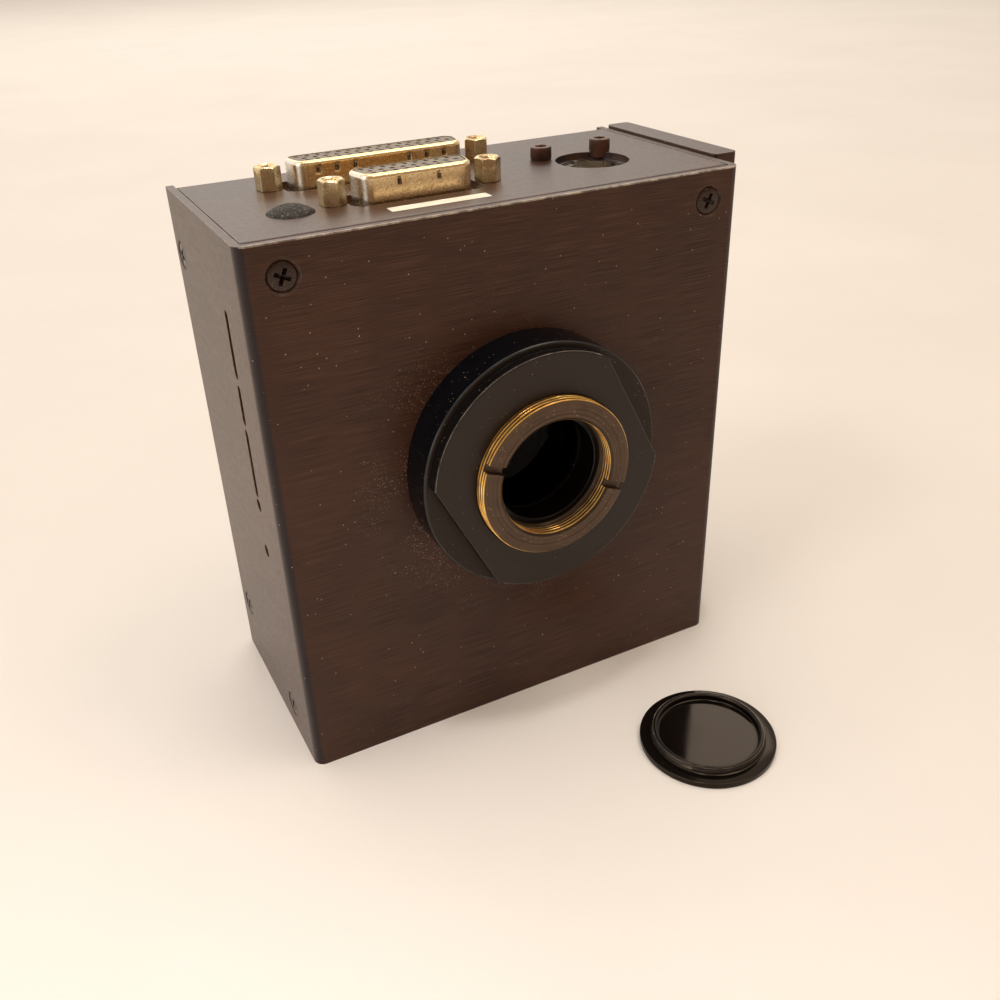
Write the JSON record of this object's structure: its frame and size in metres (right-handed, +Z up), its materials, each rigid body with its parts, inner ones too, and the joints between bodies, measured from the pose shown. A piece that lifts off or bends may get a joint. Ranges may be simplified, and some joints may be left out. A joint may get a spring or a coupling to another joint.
{
  "type": "cooled astronomy camera",
  "caption": "Flat box camera with a threaded lens port and lock nut on its front, two D-sub ports on top, a cooled sensor chamber inside, a heat-spreading side plate and a loose dust cap.",
  "frame": {"origin": "centre of the camera case's underside, the face it stands on", "axes": "+X to the right seen from in front of the lens port, +Y away from the lens port, +Z up"},
  "size_m": [0.1141, 0.105, 0.1241],
  "materials": {
    "black_anodised": "brushed, anodised brown-black, satin",
    "gloss_anodised": "turned, anodised black, glossy",
    "bronze_ring": "turned, dark bronze with bright thread crests",
    "black_screw": "black oxide",
    "bright_steel": "zinc plated",
    "gold_shell": "yellow chromate over tin, drawn",
    "gold_contact": "gold plated",
    "insert_plastic": "moulded",
    "black_plastic": "moulded",
    "rubber_black": "matt",
    "pad_grey": "filled silicone, matt",
    "window_glass": "coated, clear",
    "bare_aluminium": "machined",
    "ceramic_white": "ground",
    "ceramic_brown": "pressed",
    "silicon": "polished silicon",
    "board_green": "solder mask over glass cloth",
    "copper": "machined copper",
    "cable_grey": "ribbon cable",
    "nickel": "nickel plated",
    "socket_plastic": "moulded, cream",
    "cap_plastic": "turned, polished black"
  },
  "bodies": {
    "case": {"case_cover": "black_anodised", "chassis": "black_anodised", "side_pad": "pad_grey", "side_plate": "black_anodised", "side_plate_screws": "black_screw", "front_screws": "black_screw", "side_screws": "black_screw", "rear_screws": "black_screw", "clinch_nuts": "bright_steel", "mount_flange": "gloss_anodised", "window_gasket": "rubber_black", "optical_window": "window_glass", "window_retainer": "gloss_anodised", "sensor_chamber": "bare_aluminium", "chamber_seal": "rubber_black", "chamber_screws": "bright_steel", "sensor_package": "ceramic_brown", "sensor_die": "silicon", "sensor_lid": "window_glass", "sensor_pins": "gold_contact", "sensor_board": "board_green", "cold_finger": "copper", "thermistor": "black_plastic", "cooler_plates": "ceramic_white", "cooler_pellets": "bright_steel", "hot_block": "copper", "heat_spreader": "bare_aluminium", "hot_block_screws": "bright_steel", "feedthrough": "black_plastic", "feedthrough_pins": "gold_contact", "signal_cable": "cable_grey", "main_board": "board_green", "main_board_chips": "black_plastic", "power_board": "board_green", "power_board_parts": "black_plastic", "board_standoffs": "bright_steel", "board_screws": "bright_steel", "board_header": "black_plastic", "port_board": "board_green", "data_shell": "gold_shell", "data_insert": "insert_plastic", "data_contacts": "gold_contact", "power_shell": "gold_shell", "power_insert": "insert_plastic", "power_contacts": "gold_contact", "jackscrews": "gold_shell", "socket_shell": "nickel", "socket_insert": "socket_plastic", "socket_pins": "gold_contact", "socket_bracket": "bare_aluminium", "socket_screws": "black_screw", "port_plug": "rubber_black"},
    "lens_ring": {"c_mount_ring": "bronze_ring"},
    "lock_nut": {"lock_nut": "black_anodised"},
    "dust_cap": {"dust_cap": "cap_plastic"}
  },
  "joints": [
    {"name": "ring_turn", "type": "hinge", "parent": "case", "child": "lens_ring", "pos_m": [0.001, -0.02685, 0.0659], "axis": [0, -1, 0], "range_deg": [-900, 900]},
    {"name": "nut_turn", "type": "hinge", "parent": "lens_ring", "child": "lock_nut", "pos_m": [0.001, -0.03685, 0.0659], "axis": [0, -1, 0], "range_deg": [0, 720]},
    {"name": "cap_carry", "type": "hinge", "parent": "case", "child": "dust_cap", "pos_m": [0.00773, -0.02372, 0.02258], "axis": [-0.909, -0.2947, -0.2947], "range_deg": [0, 95.46]}
  ]
}
